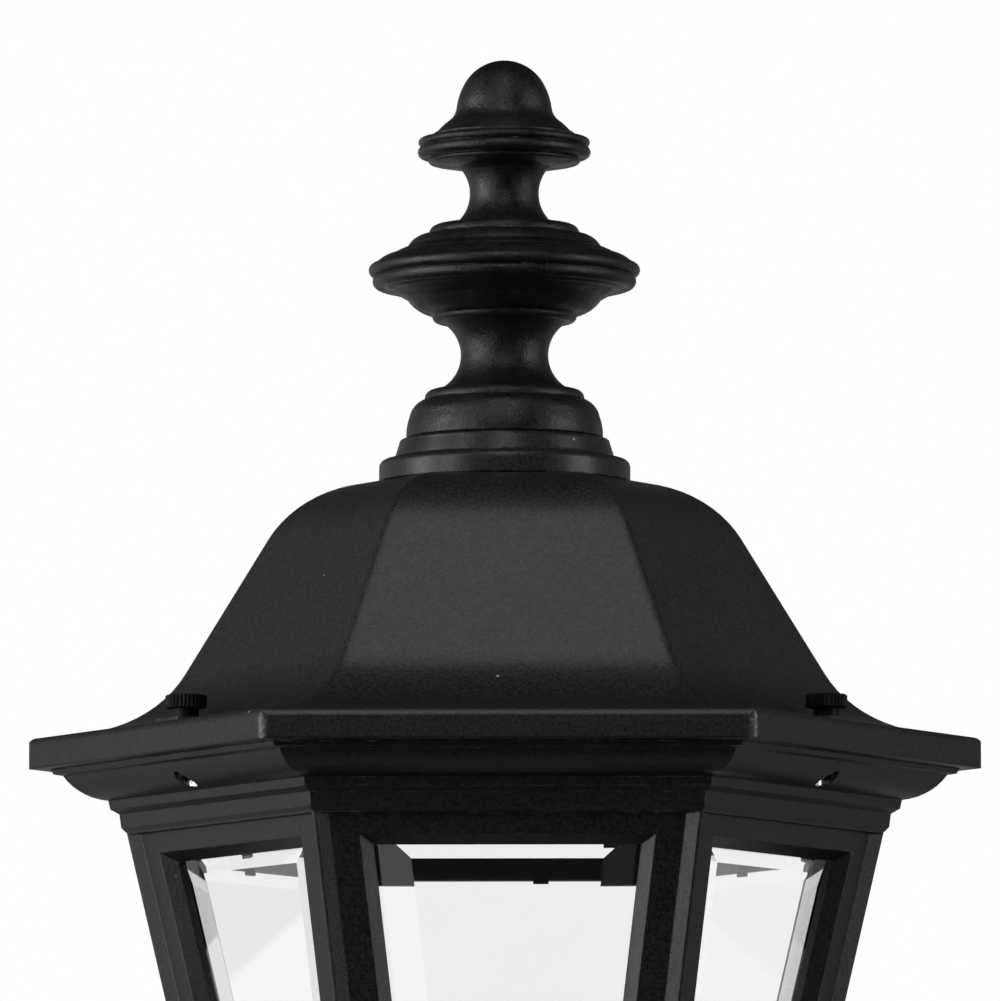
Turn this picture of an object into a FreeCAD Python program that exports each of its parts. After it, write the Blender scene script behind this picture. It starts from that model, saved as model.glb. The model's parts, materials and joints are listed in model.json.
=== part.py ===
import FreeCAD, Part
import math
import os
from FreeCAD import Vector

# Six-sided cast wall lantern on a curved arm, in millimetres. The origin is the middle of the
# back of the wall plate, the wall is at +Y and the lantern stands out towards -Y, with +Z up.
# Lantern pieces are drawn about their own axis, with heights from the underside of the eave.

# Layout and fits
AXIS_OUT = 175.0              # lantern axis from the wall
SIDES = 6
SEAT_GAP = 0.5                # play of a spigot in its mouth
THREAD_GAP = 0.05             # radial play of a thread
HOLE_GAP = 0.3                # radial play of a screw in a clearance hole
EDGE = 1.0                    # small chamfer on turned edges
OVER = 1.0                    # overrun of a cut past the face it opens
SCREW_CLEAR = 0.5             # depth of a blind hole past its screw

# Roof casting
EAVE_APOTHEM = 130.0
EAVE_CORNER_R = 3.0
FASCIA_H = 9.5
FASCIA_TOP_R = 2.2
FASCIA_FOOT_R = 0.8
FLARE_SLOPE = 7.5
ROOF_SLOPE = 62.0
COVE_R = 35.0
SHOULDER_R = 34.0
SHOULDER_APOTHEM = 34.5
ROOF_H = 90.5
ROOF_WALL = 4.5
LIP_WALL = 4.5
LIP_DROP = 4.0

# Round crown on top of the roof
CROWN_RING_R = 39.6
CROWN_RING_H = 7.0
CROWN_RING_EDGE_R = 2.4
CROWN_NECK_R = 34.5
CROWN_COVE_R = 1.2
CROWN_CORE_R = 25.6           # solid core below the crown
CROWN_TOP_R = 33.2
CROWN_TOP_EDGE_R = 1.1
CROWN_H = 13.4

# Turned finial from its seat upward: a pair is a point, two pairs are an arc and its end
FINIAL_FOOT_R = 31.0
FINIAL_FOOT_CHAMFER = 0.7
FINIAL_OUTLINE = [
    ((30.6, 5.3), (30.0, 7.3)),
    ((28.5, 10.5), (25.2, 12.7)),
    ((25.0, 14.1), (23.0, 15.7)),
    (20.4, 16.1),
    ((13.8, 26.9), (19.9, 37.4)),
    ((22.3, 37.8), (22.8, 39.1)),
    (23.4, 39.6),
    ((26.9, 41.0), (30.7, 44.6)),
    (35.2, 47.1),
    ((37.0, 47.3), (38.0, 48.1)),
    ((41.3, 49.1), (41.4, 51.3)),
    (40.8, 51.7),
    ((42.8, 53.4), (40.7, 55.8)),
    ((38.4, 57.7), (34.7, 58.8)),
    (34.0, 59.6),
    (30.6, 61.1),
    ((29.4, 62.8), (26.9, 64.5)),
    (23.8, 65.1),
    ((22.9, 67.3), (20.9, 68.1)),
    (14.9, 69.1),
    ((10.9, 77.5), (13.3, 85.5)),
    (15.0, 86.5),
    ((19.0, 86.9), (22.6, 87.8)),
    ((24.0, 88.4), (23.5, 89.4)),
    (24.4, 89.7),
    ((27.3, 91.1), (26.5, 92.8)),
    (25.9, 93.1),
    ((27.1, 94.4), (25.8, 95.7)),
    (22.3, 96.4),
    ((22.3, 97.1), (21.5, 97.4)),
    ((19.58, 99.48), (17.4, 101.3)),
    ((15.85, 103.01), (15.1, 105.2)),
    ((14.15, 109.38), (12.4, 113.3)),
]
FINIAL_DOME_H = 7.2           # round cap above the outline

# Rod, washer and nut that hold the finial
ROD_R = 4.0
ROD_IN_FINIAL = 26.0
ROD_TAIL = 13.0
ROD_WASHER_R = 10.0
ROD_WASHER_T = 1.6
ROD_NUT_AF = 13.0
ROD_NUT_H = 6.5

# Thumb screws that hold the roof down, on every other side
THUMB_OUT = 114.5             # screw axis from the lantern axis
THUMB_PAD_W = 14.0            # square pad under each head
THUMB_PAD_TOP = 11.8
THUMB_SHANK_R = 2.4
THUMB_SHANK_GAP = 0.1
THUMB_RELIEF_R = 3.5          # wider bore around the tip, below the cornice
THUMB_RELIEF_TOP = -3.5
THUMB_TIP_UP = 1.8            # end of the screw above the bore's inner rim
THUMB_NECK_R = 4.0
THUMB_NECK_H = 3.0
THUMB_HEAD_R = 6.5
THUMB_HEAD_H = 4.2
THUMB_HEAD_CHAMFER = 0.5
KNURL_DEPTH = 0.4
KNURL_COUNT = 32

# Cornice of the cage, from the roof seat down
EAVE_OVERHANG = 6.2
FILLET_H = 1.6
FILLET_DRAFT = 0.9
FILLET_STEP = 2.6
FILLET_STEP_H = 0.45
OVOLO_IN = 12.3
OVOLO_H = 7.85
OVOLO_BULGE = 1.7
BAND_DRAFT = 0.5
UPPER_BAND_H = 2.7
UPPER_CHAMFER_IN = 2.5
UPPER_CHAMFER_H = 1.6
LOWER_BAND_H = 4.2
LOWER_CHAMFER_IN = 1.3
LOWER_CHAMFER_H = 1.5

# Tapered cage below the cornice
CAGE_H = 230.0
CAGE_TAPER = 11.35            # degrees each face leans in
FRAME_T = 9.0
CORNER_R = 1.5
REBATE_EXTRA = 1.0            # depth of the mouth below the lip

# Recessed window in each face, widths measured from the corner inward
CORNER_LAND = 0.6
RECESS_SLOPE_W = 4.2
RECESS_D = 2.5
RECESS_TOP = 0.3
RECESS_TOP_SLOPE = 0.9
RECESS_FOOT_LAND = 3.0
STILE_W = 8.6
SPLAY_W = 3.9
SPLAY_D = 4.0
TOP_RAIL = 7.6
FOOT_RAIL = 24.0

# Bevelled glass
GLASS_EDGE_T = 2.0
GLASS_T = 4.5
BEVEL_W = 16.0
GLASS_SIDE_LAP = 5.0
GLASS_END_LAP = 11.5
GLASS_GAP = 0.05

# Clips that hold the glass, one at each end of a pane
TOP_CLIP_ASIDE = {"back": -12.0, "back_left": 5.0, "front_left": -5.0, "front": 32.0,
                  "front_right": 32.0, "back_right": 5.0}
CLIP_W = 5.0
CLIP_T = 1.0
CLIP_FOOT = 10.0
CLIP_CLEAR = 0.8              # space between the clip's step and the edge of the glass
CLIP_SHOWS = 2.0              # end of the clip past the edge of the window
CLIP_SCREW_R = 1.5
CLIP_SCREW_HEAD_R = 2.6
CLIP_SCREW_HEAD_H = 1.8
CLIP_SCREW_L = 6.0

# Base pan below the cage
PAN_OVERHANG = 4.0
PAN_FLANGE_T = 4.0
PAN_EDGE_R = 1.2
PAN_SPIGOT_H = 4.0
PAN_WALL = 4.0
PAN_BOWL_STEP = 1.6
PAN_BOWL_H = 16.0
PAN_BOWL_IN = 16.0
PAN_BOWL_BULGE = 3.6
PAN_FOOT_H = 6.0
BASE_SCREW_R = 1.6
BASE_SCREW_HEAD_R = 3.2
BASE_SCREW_HEAD_H = 2.2
BASE_SCREW_L = 13.0

# Collar, stem and lamp cluster
COLLAR_R = 19.0
COLLAR_FOOT_R = 13.5
COLLAR_H = 24.0
COLLAR_RIM_H = 5.0
COLLAR_SOCKET = 13.0
COLLAR_HOLLOW = 0.6           # swell of the collar's curved waist
STEM_R = 5.0
STEM_BORE_R = 3.5
STEM_IN_COLLAR = 9.0
STEM_WASHER_R = 13.0
STEM_WASHER_T = 1.5
STEM_NUT_AF = 15.0
STEM_NUT_H = 4.5
CLUSTER_RISE = 17.0           # seat of the lamp holders above the foot of the cage
CLUSTER_R = 38.0
CLUSTER_T = 3.0
CLUSTER_HUB_R = 10.0
CLUSTER_HUB_H = 14.0
CLUSTER_DISH = 7.0
LAMP_COUNT = 3
LAMP_OUT = 24.0
HOLDER_R = 9.4
HOLDER_H = 52.0
HOLDER_BORE_R = 6.2
HOLDER_BORE_DEPTH = 26.0
HOLDER_SCREW_R = 1.5
HOLDER_SCREW_L = 10.0
HOLDER_SCREW_HEAD_R = 2.8
HOLDER_SCREW_HEAD_H = 1.8
SLEEVE_R = 11.0
SLEEVE_WALL = 1.2
SLEEVE_OVER = 2.5             # sleeve above the top of the holder
BULB_CAP_R = 6.0
BULB_NECK = 6.0
BULB_R = 16.0
BULB_WIDE_H = 29.4            # widest part above the foot of the glass
BULB_LOWER_R = 13.1
BULB_UPPER_R = 10.6
BULB_TIP_R = 1.9
BULB_GLASS_H = 70.0

# Curved arm and its fixing
ARM_R = 10.0
ARM_BORE_R = 6.5
ARM_ROOT_UP = 45.0            # arm above the foot of the wall plate
ARM_RISE = 83.0               # top of the arm above its root
ARM_BEND_R = 60.0
ARM_TAIL = 8.0                # thread of the arm inside the wall plate
ROSETTE_R = 25.0
ROSETTE_T = 8.0
ROSETTE_RIM = 3.0
ARM_NUT_AF = 30.0
ARM_NUT_H = 5.0

# Wall plate, gasket and strap
PLATE_W = 118.0
PLATE_H = 250.0
PLATE_CORNER_R = 6.0
PLATE_SLAB_T = 7.0
PLATE_MARGIN = 7.0
PLATE_BEVEL = 10.0
PLATE_RISE = 8.0
PLATE_WALL = 4.0
POCKET_MARGIN = 22.0
GASKET_T = 2.0
GASKET_W = 8.0
GASKET_INSET = 3.0
STRAP_W = 24.0
STRAP_H = 120.0
STRAP_T = 2.5
BOX_SCREW_SPACING = 88.9
BOX_SCREW_HOLE_R = 2.4
STUD_SPACING = 60.0
STUD_R = 2.5
STUD_IN_NUT = 6.0
CAP_NUT_AF = 9.5
CAP_NUT_H = 5.0
CAP_NUT_DOME = 4.4
EARTH_SCREW_R = 2.0
EARTH_SCREW_Z = 15.0
EARTH_SCREW_HEAD_R = 4.0
EARTH_SCREW_HEAD_H = 2.4

# Values worked out from the sizes above
UP = Vector(0, 0, 1)
ORIGIN = Vector(0, 0, 0)
HALF_ANGLE = math.pi / SIDES
FACES = {"back": 90, "back_left": 150, "front_left": 210, "front": 270, "front_right": 330, "back_right": 30}
THUMB_SIDES = {"left": 210, "right": 330, "back": 90}
LEAN = math.radians(CAGE_TAPER)

CROWN_Z = ROOF_H + CROWN_H
ROOF_CEILING = ROOF_H - ROOF_WALL
CORNICE_APOTHEM = EAVE_APOTHEM - EAVE_OVERHANG
CORNICE_IN = FILLET_DRAFT + FILLET_STEP + OVOLO_IN + 2 * BAND_DRAFT + UPPER_CHAMFER_IN + LOWER_CHAMFER_IN
CORNICE_H = (FILLET_H + FILLET_STEP_H + OVOLO_H + UPPER_BAND_H + UPPER_CHAMFER_H
             + LOWER_BAND_H + LOWER_CHAMFER_H)
FACE_TOP_APOTHEM = CORNICE_APOTHEM - CORNICE_IN
FACE_L = (CAGE_H - CORNICE_H) / math.cos(LEAN)

STILE_INSET = CORNER_LAND + RECESS_SLOPE_W
SPLAY_INSET = STILE_INSET + STILE_W
WINDOW_INSET = SPLAY_INSET + SPLAY_W
WINDOW_TOP = -TOP_RAIL - SPLAY_W
WINDOW_FOOT = -(FACE_L - FOOT_RAIL - SPLAY_W)
GLASS_INSET = WINDOW_INSET - GLASS_SIDE_LAP
GLASS_TOP = WINDOW_TOP + GLASS_END_LAP
GLASS_FOOT = WINDOW_FOOT - GLASS_END_LAP
BEVEL_RISE = GLASS_T - GLASS_EDGE_T
GLASS_BACK = -(FRAME_T + GLASS_EDGE_T + BEVEL_RISE * GLASS_END_LAP / BEVEL_W + GLASS_GAP)

PAN_FOOT_Z = -CAGE_H - PAN_FLANGE_T - PAN_BOWL_H - PAN_FOOT_H
PAN_FLOOR_Z = PAN_FOOT_Z + PAN_WALL
COLLAR_FOOT_Z = PAN_FOOT_Z - COLLAR_H
ARM_ROOT_Z = -PLATE_H / 2 + ARM_ROOT_UP
ARM_TOP_Z = ARM_ROOT_Z + ARM_RISE
EAVE_Z = ARM_TOP_Z - COLLAR_FOOT_Z - COLLAR_SOCKET
CLUSTER_Z = CLUSTER_RISE - CAGE_H
SLEEVE_BORE_R = SLEEVE_R - SLEEVE_WALL
HOLDER_TOP = CLUSTER_Z + HOLDER_H
PLATE_BACK = -GASKET_T
PLATE_FRONT = PLATE_BACK - PLATE_SLAB_T - PLATE_RISE
POCKET_END = PLATE_FRONT + PLATE_WALL


def point(pair):
    return Vector(pair[0], 0, pair[1])


def outline(start, *steps):
    """Closed face in the XZ plane: a step is the next point, or the middle and end of an arc."""
    edges = []
    here = point(start)
    for step in list(steps) + [start]:
        if isinstance(step[0], tuple):
            there = point(step[1])
            edges.append(Part.Arc(here, point(step[0]), there).toShape())
        else:
            there = point(step)
            edges.append(Part.makeLine(here, there))
        here = there
    return Part.Face(Part.Wire(edges))


def revolved(start, *steps):
    return outline(start, *steps).revolve(ORIGIN, UP, 360)


def fused(shapes):
    return shapes[0].multiFuse(shapes[1:]).removeSplitter()


def turned(shape, azimuth):
    return shape.rotated(ORIGIN, UP, azimuth)


def cylinder(radius, low, high, x=0.0):
    return Part.makeCylinder(radius, high - low, Vector(x, 0, low), UP)


def polygon_wire(points):
    return Part.makePolygon(points + [points[0]])


def hexagon(apothem, z):
    """Corners of the lantern's plan at one height, with a flat side to the front."""
    reach = apothem / math.cos(HALF_ANGLE)
    angles = [2 * HALF_ANGLE * i for i in range(SIDES)]
    return [Vector(reach * math.cos(t), reach * math.sin(t), z) for t in angles]


def rounded_wire(corners, radius):
    """Closed flat wire through the corners, each rounded by an arc."""
    edges = []
    count = len(corners)
    for i, corner in enumerate(corners):
        before = (corners[i - 1] - corner).normalize()
        after = (corners[(i + 1) % count] - corner).normalize()
        half = before.getAngle(after) / 2
        run = radius / math.tan(half)
        bisector = (before + after).normalize()
        middle = corner + bisector * (radius / math.sin(half) - radius)
        start = corner + before * run
        end = corner + after * run
        if edges:
            edges.append(Part.makeLine(edges[-1].Vertexes[-1].Point, start))
        edges.append(Part.Arc(start, middle, end).toShape())
    edges.append(Part.makeLine(edges[-1].Vertexes[-1].Point, edges[0].Vertexes[0].Point))
    return Part.Wire(edges)


def hex_prism(apothem, low, high):
    return Part.Face(polygon_wire(hexagon(apothem, low))).extrude(UP * (high - low))


def hex_ring(face):
    """Mitred six-sided moulding with the given section."""
    reach = 2 * face.BoundBox.XMax
    low = face.BoundBox.ZMin - OVER
    side = reach * math.tan(HALF_ANGLE)
    plan = [Vector(0, 0, low), Vector(reach, -side, low), Vector(reach, side, low)]
    wedge = Part.Face(polygon_wire(plan)).extrude(UP * (face.BoundBox.ZLength + 2 * OVER))
    bar = face.translated(Vector(0, -side, 0)).extrude(Vector(0, 2 * side, 0))
    piece = bar.common(wedge)
    return fused([turned(piece, azimuth) for azimuth in FACES.values()])


def bend(radius):
    """How far the middle of a quarter round lies inside its corner, along each axis."""
    return radius * (1 - math.cos(math.pi / 4))


def nut(across_flats, height, bore_r):
    blank = hex_prism(across_flats / 2, 0, height)
    return blank.cut(cylinder(bore_r, -OVER, height + OVER))


def dome(radius, low, rise):
    """Arc of a round cap from its rim up to the axis."""
    ball_r = (radius ** 2 + rise ** 2) / (2 * rise)
    half = math.atan2(radius, ball_r - rise) / 2
    top = low + rise
    return ((ball_r * math.sin(half), top - ball_r * (1 - math.cos(half))), (0, top))


def round_head_screw(shank_r, length, head_r, head_h):
    """Screw along +Z with its head below z = 0."""
    edge = head_h / 2
    inside = bend(edge)
    return revolved(
        (0, -head_h), (head_r - edge, -head_h), ((head_r - inside, inside - head_h), (head_r, -edge)),
        (head_r, 0), (shank_r, 0), (shank_r, length), (0, length))


def face_to_lantern(shape, azimuth):
    """From a face's own axes, x out of the face and z up it, to its place on the cage."""
    leaned = shape.rotated(ORIGIN, Vector(0, 1, 0), CAGE_TAPER)
    return turned(leaned.translated(Vector(FACE_TOP_APOTHEM, 0, -CORNICE_H)), azimuth)


def half_width(v):
    """Half the width of a face at height v along it."""
    return (FACE_TOP_APOTHEM + v * math.sin(LEAN)) * math.tan(HALF_ANGLE)


def face_trapezoid(x, inset, top, foot):
    wide = half_width(top) - inset
    narrow = half_width(foot) - inset
    return [Vector(x, -wide, top), Vector(x, wide, top), Vector(x, narrow, foot), Vector(x, -narrow, foot)]


def tapered_block(outer, inner):
    return Part.makeLoft([polygon_wire(outer), polygon_wire(inner)], True, True)


def roof_section():
    """Half section of the roof shell, with its eave and the lip that drops into the cage."""
    slope = math.radians(ROOF_SLOPE)
    flare = math.radians(FLARE_SLOPE)
    centre_z = ROOF_H - SHOULDER_R

    def shoulder(radius, angle):
        return (SHOULDER_APOTHEM + radius * math.sin(angle), centre_z + radius * math.cos(angle))

    inner_r = SHOULDER_R - ROOF_WALL
    top_a, top_z = shoulder(SHOULDER_R, slope)
    drop = top_z - FASCIA_H - (EAVE_APOTHEM - top_a) * math.tan(flare)
    run = drop / (math.sin(slope) - math.cos(slope) * math.tan(flare))
    meet_a = top_a + run * math.cos(slope)
    meet_z = top_z - run * math.sin(slope)
    tangent = COVE_R * math.tan((slope - flare) / 2)
    cove_start = (meet_a - tangent * math.cos(slope), meet_z + tangent * math.sin(slope))
    cove_end = (meet_a + tangent * math.cos(flare), meet_z - tangent * math.sin(flare))
    centre = (cove_start[0] + COVE_R * math.sin(slope), cove_start[1] + COVE_R * math.cos(slope))
    turn = (slope + flare) / 2
    cove_middle = (centre[0] - COVE_R * math.sin(turn), centre[1] - COVE_R * math.cos(turn))

    edge_a = EAVE_APOTHEM - FASCIA_TOP_R
    edge_top = (edge_a, FASCIA_H + FASCIA_TOP_R * math.tan(flare))
    edge_middle = (EAVE_APOTHEM - bend(FASCIA_TOP_R), FASCIA_H - bend(FASCIA_TOP_R))
    foot_middle = (EAVE_APOTHEM - bend(FASCIA_FOOT_R), bend(FASCIA_FOOT_R))
    lip_out = lip_apothem() + LIP_WALL
    return outline(
        (CROWN_NECK_R / 2, ROOF_H), (SHOULDER_APOTHEM, ROOF_H),
        (shoulder(SHOULDER_R, slope / 2), (top_a, top_z)), cove_start, (cove_middle, cove_end), edge_top,
        (edge_middle, (EAVE_APOTHEM, FASCIA_H - FASCIA_TOP_R)), (EAVE_APOTHEM, FASCIA_FOOT_R),
        (foot_middle, (EAVE_APOTHEM - FASCIA_FOOT_R, 0)), (lip_out, 0), (lip_out, -LIP_DROP),
        (lip_apothem(), -LIP_DROP), (lip_apothem(), 0), shoulder(inner_r, slope),
        (shoulder(inner_r, slope / 2), (SHOULDER_APOTHEM, ROOF_CEILING)), (CROWN_NECK_R / 2, ROOF_CEILING))


def lip_apothem():
    """Inner face of the roof's lip, where the inside of the slope reaches the eave."""
    slope = math.radians(ROOF_SLOPE)
    inner_r = SHOULDER_R - ROOF_WALL
    inner_z = ROOF_H - SHOULDER_R + inner_r * math.cos(slope)
    return SHOULDER_APOTHEM + inner_r * math.sin(slope) + inner_z / math.tan(slope)


def make_roof():
    shell = hex_ring(roof_section())
    corners = hexagon(EAVE_APOTHEM, -LIP_DROP)
    plan = Part.Face(rounded_wire(corners, EAVE_CORNER_R)).extrude(UP * (ROOF_H + LIP_DROP))
    ring_top = ROOF_H + CROWN_RING_H
    ring_bend = bend(CROWN_RING_EDGE_R)
    cove_bend = bend(CROWN_COVE_R)
    top_bend = bend(CROWN_TOP_EDGE_R)
    crown = revolved(
        (ROD_R + HOLE_GAP, ROOF_CEILING), (CROWN_CORE_R, ROOF_CEILING), (CROWN_CORE_R, ROOF_H),
        (CROWN_RING_R, ROOF_H), (CROWN_RING_R, ring_top - CROWN_RING_EDGE_R),
        ((CROWN_RING_R - ring_bend, ring_top - ring_bend), (CROWN_RING_R - CROWN_RING_EDGE_R, ring_top)),
        (CROWN_NECK_R + CROWN_COVE_R, ring_top),
        ((CROWN_NECK_R + cove_bend, ring_top + cove_bend), (CROWN_NECK_R, ring_top + CROWN_COVE_R)),
        (CROWN_TOP_R, CROWN_Z - CROWN_TOP_EDGE_R),
        ((CROWN_TOP_R - top_bend, CROWN_Z - top_bend), (CROWN_TOP_R - CROWN_TOP_EDGE_R, CROWN_Z)),
        (ROD_R + HOLE_GAP, CROWN_Z))
    corner = Vector(THUMB_OUT - THUMB_PAD_W / 2, -THUMB_PAD_W / 2, EDGE)
    pad = Part.makeBox(THUMB_PAD_W, THUMB_PAD_W, THUMB_PAD_TOP - EDGE, corner)
    roof = fused([shell.common(plan), crown] + [turned(pad, t) for t in THUMB_SIDES.values()])
    hole = cylinder(THUMB_SHANK_R + HOLE_GAP, -OVER, THUMB_PAD_TOP + OVER, THUMB_OUT)
    spot_face = cylinder(THUMB_HEAD_R + SEAT_GAP, THUMB_PAD_TOP, THUMB_PAD_TOP + THUMB_NECK_H, THUMB_OUT)
    return roof.cut([turned(cut, t) for cut in (hole, spot_face) for t in THUMB_SIDES.values()])


def make_finial():
    foot = FINIAL_FOOT_R - FINIAL_FOOT_CHAMFER
    cap = dome(*FINIAL_OUTLINE[-1][1], FINIAL_DOME_H)
    body = revolved((0, 0), (foot, 0), (FINIAL_FOOT_R, FINIAL_FOOT_CHAMFER), *FINIAL_OUTLINE, cap)
    tapped = cylinder(ROD_R + THREAD_GAP, -OVER, ROD_IN_FINIAL + SCREW_CLEAR)
    return body.cut(tapped).translated(UP * CROWN_Z)


def make_finial_fixing():
    washer_z = ROOF_CEILING - ROD_WASHER_T
    nut_z = washer_z - ROD_NUT_H
    rod = cylinder(ROD_R, ROOF_CEILING - ROD_TAIL, CROWN_Z + ROD_IN_FINIAL)
    washer = cylinder(ROD_WASHER_R, washer_z, ROOF_CEILING)
    washer = washer.cut(cylinder(ROD_R + HOLE_GAP, washer_z - OVER, CROWN_Z))
    rod_nut = nut(ROD_NUT_AF, ROD_NUT_H, ROD_R + THREAD_GAP).translated(UP * nut_z)
    return {"finial_rod": rod, "finial_washer": washer, "finial_nut": rod_nut}


def ovolo_underside(out):
    """Height of the cornice's curved underside at a distance from the lantern's axis."""
    start, middle, end = ovolo_points()
    curve = Part.Arc(point(start), point(middle), point(end)).toShape()
    drop = Part.makeLine(Vector(out, 0, 0), Vector(out, 0, -CORNICE_H))
    return curve.distToShape(drop)[1][0][0].z


def make_thumb_screw():
    """Knurled screw along the lantern's height, standing on the +X side."""
    head_z = THUMB_PAD_TOP + THUMB_NECK_H
    top = head_z + THUMB_HEAD_H
    tip = ovolo_underside(THUMB_OUT - THUMB_RELIEF_R) + THUMB_TIP_UP
    teeth = []
    for i in range(2 * KNURL_COUNT):
        radius = THUMB_HEAD_R - KNURL_DEPTH * (i % 2)
        angle = math.pi * i / KNURL_COUNT
        teeth.append(Vector(radius * math.cos(angle), radius * math.sin(angle), head_z))
    knurl = Part.Face(polygon_wire(teeth)).extrude(UP * THUMB_HEAD_H)
    rim = THUMB_HEAD_R - THUMB_HEAD_CHAMFER
    turning = revolved(
        (0, head_z), (rim, head_z), (THUMB_HEAD_R, head_z + THUMB_HEAD_CHAMFER),
        (THUMB_HEAD_R, top - THUMB_HEAD_CHAMFER), (rim, top), (0, top))
    point_r = THUMB_SHANK_R / 2
    stem = revolved(
        (0, tip), (point_r, tip), (THUMB_SHANK_R, tip + point_r), (THUMB_SHANK_R, THUMB_PAD_TOP),
        (THUMB_NECK_R, THUMB_PAD_TOP), (THUMB_NECK_R, head_z), (0, head_z))
    screw = fused([knurl.common(turning), stem])
    return screw.translated(Vector(THUMB_OUT, 0, 0))


def ovolo_points():
    """Start, middle and end of the cornice's round moulding."""
    start = (CORNICE_APOTHEM - FILLET_DRAFT - FILLET_STEP, -FILLET_H - FILLET_STEP_H)
    end = (start[0] - OVOLO_IN, start[1] - OVOLO_H)
    chord = math.hypot(OVOLO_IN, OVOLO_H)
    middle = ((start[0] + end[0]) / 2 + OVOLO_BULGE * OVOLO_H / chord,
              (start[1] + end[1]) / 2 - OVOLO_BULGE * OVOLO_IN / chord)
    return start, middle, end


def cornice_section():
    start, middle, end = ovolo_points()
    upper_foot = (end[0] - BAND_DRAFT, end[1] - UPPER_BAND_H)
    lower_top = (upper_foot[0] - UPPER_CHAMFER_IN, upper_foot[1] - UPPER_CHAMFER_H)
    lower_foot = (lower_top[0] - BAND_DRAFT, lower_top[1] - LOWER_BAND_H)
    inner = FACE_TOP_APOTHEM - 2 * FRAME_T
    return outline(
        (inner, 0), (CORNICE_APOTHEM, 0), (CORNICE_APOTHEM - FILLET_DRAFT, -FILLET_H), start, (middle, end),
        upper_foot, lower_top, lower_foot, (FACE_TOP_APOTHEM, -CORNICE_H), (inner, -CORNICE_H))


def cage_apothem(z):
    return FACE_TOP_APOTHEM + (z + CORNICE_H) * math.tan(LEAN)


def cavity_apothem(z):
    return cage_apothem(z) - FRAME_T / math.cos(LEAN)


def make_cage():
    neck_z = -CORNICE_H + LOWER_CHAMFER_H
    body = Part.makeLoft([
        rounded_wire(hexagon(cage_apothem(-CAGE_H), -CAGE_H), CORNER_R),
        rounded_wire(hexagon(cage_apothem(neck_z), neck_z), CORNER_R)], True, True)
    solid = fused([hex_ring(cornice_section()), body])
    low = -CAGE_H - OVER
    cavity = Part.makeLoft([
        polygon_wire(hexagon(cavity_apothem(low), low)),
        polygon_wire(hexagon(cavity_apothem(OVER), OVER))], True, True)
    rebate = hex_prism(lip_apothem() + LIP_WALL + SEAT_GAP, -LIP_DROP - REBATE_EXTRA, OVER)
    return solid.cut([cavity, rebate] + window_cutters() + cage_holes())


def window_cutters():
    per_depth = OVER / RECESS_D
    foot = -FACE_L + RECESS_FOOT_LAND
    recess = tapered_block(
        face_trapezoid(OVER, CORNER_LAND - RECESS_SLOPE_W * per_depth, -RECESS_TOP, foot),
        face_trapezoid(-RECESS_D, STILE_INSET, -RECESS_TOP - RECESS_TOP_SLOPE, foot + RECESS_TOP_SLOPE))
    grow = SPLAY_W * RECESS_D / SPLAY_D
    splay = tapered_block(
        face_trapezoid(0, SPLAY_INSET - grow, WINDOW_TOP + SPLAY_W + grow, WINDOW_FOOT - SPLAY_W - grow),
        face_trapezoid(-RECESS_D - SPLAY_D, WINDOW_INSET, WINDOW_TOP, WINDOW_FOOT))
    through = tapered_block(
        face_trapezoid(-RECESS_D - SPLAY_D / 2, WINDOW_INSET, WINDOW_TOP, WINDOW_FOOT),
        face_trapezoid(-2 * FRAME_T, WINDOW_INSET, WINDOW_TOP, WINDOW_FOOT))
    cutters = []
    for azimuth in FACES.values():
        cutters += [face_to_lantern(cutter, azimuth) for cutter in (recess, splay, through)]
    return cutters


def cage_holes():
    thumb = cylinder(THUMB_SHANK_R + THUMB_SHANK_GAP, -CORNICE_H, OVER, THUMB_OUT)
    relief = cylinder(THUMB_RELIEF_R, -CORNICE_H, THUMB_RELIEF_TOP, THUMB_OUT)
    base_top = -CAGE_H + BASE_SCREW_L - PAN_FLANGE_T + SCREW_CLEAR
    base = cylinder(BASE_SCREW_R + THREAD_GAP, -CAGE_H - OVER, base_top, base_screw_out())
    holes = [turned(hole, t) for hole in (thumb, relief, base) for t in THUMB_SIDES.values()]
    for v, asides in clip_places():
        clip = clip_screw_axis(CLIP_SCREW_R + THREAD_GAP, CLIP_SCREW_L + SCREW_CLEAR, v)
        holes += on_faces(clip, asides)
    return holes


def base_screw_out():
    return (cage_apothem(-CAGE_H) + cavity_apothem(-CAGE_H)) / 2


def make_glass():
    """One bevelled pane, with its back flat and its bevel towards the outside."""
    edge_x = GLASS_BACK + GLASS_EDGE_T
    front_x = GLASS_BACK + GLASS_T
    plate = tapered_block(
        face_trapezoid(GLASS_BACK, GLASS_INSET, GLASS_TOP, GLASS_FOOT),
        face_trapezoid(edge_x, GLASS_INSET, GLASS_TOP, GLASS_FOOT))
    bevel = tapered_block(
        face_trapezoid(edge_x, GLASS_INSET, GLASS_TOP, GLASS_FOOT),
        face_trapezoid(front_x, GLASS_INSET + BEVEL_W, GLASS_TOP - BEVEL_W, GLASS_FOOT + BEVEL_W))
    return fused([plate, bevel])


def clip_places():
    """Height of the clip screws at the top and foot of a pane, with their places across each face."""
    offset = CLIP_CLEAR + CLIP_FOOT / 2
    middles = {name: 0 for name in FACES}
    return ((GLASS_TOP + offset, TOP_CLIP_ASIDE), (GLASS_FOOT - offset, middles))


def on_faces(shape, asides):
    """One copy on each face, moved across it."""
    copies = []
    for name, azimuth in FACES.items():
        copies.append(face_to_lantern(shape.translated(Vector(0, asides[name], 0)), azimuth))
    return copies


def clip_screw_axis(radius, length, v):
    """Cylinder from the cavity wall outward, at height v up a face."""
    return Part.makeCylinder(radius, length, Vector(-FRAME_T - CLIP_T, 0, v), Vector(1, 0, 0))


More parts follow.
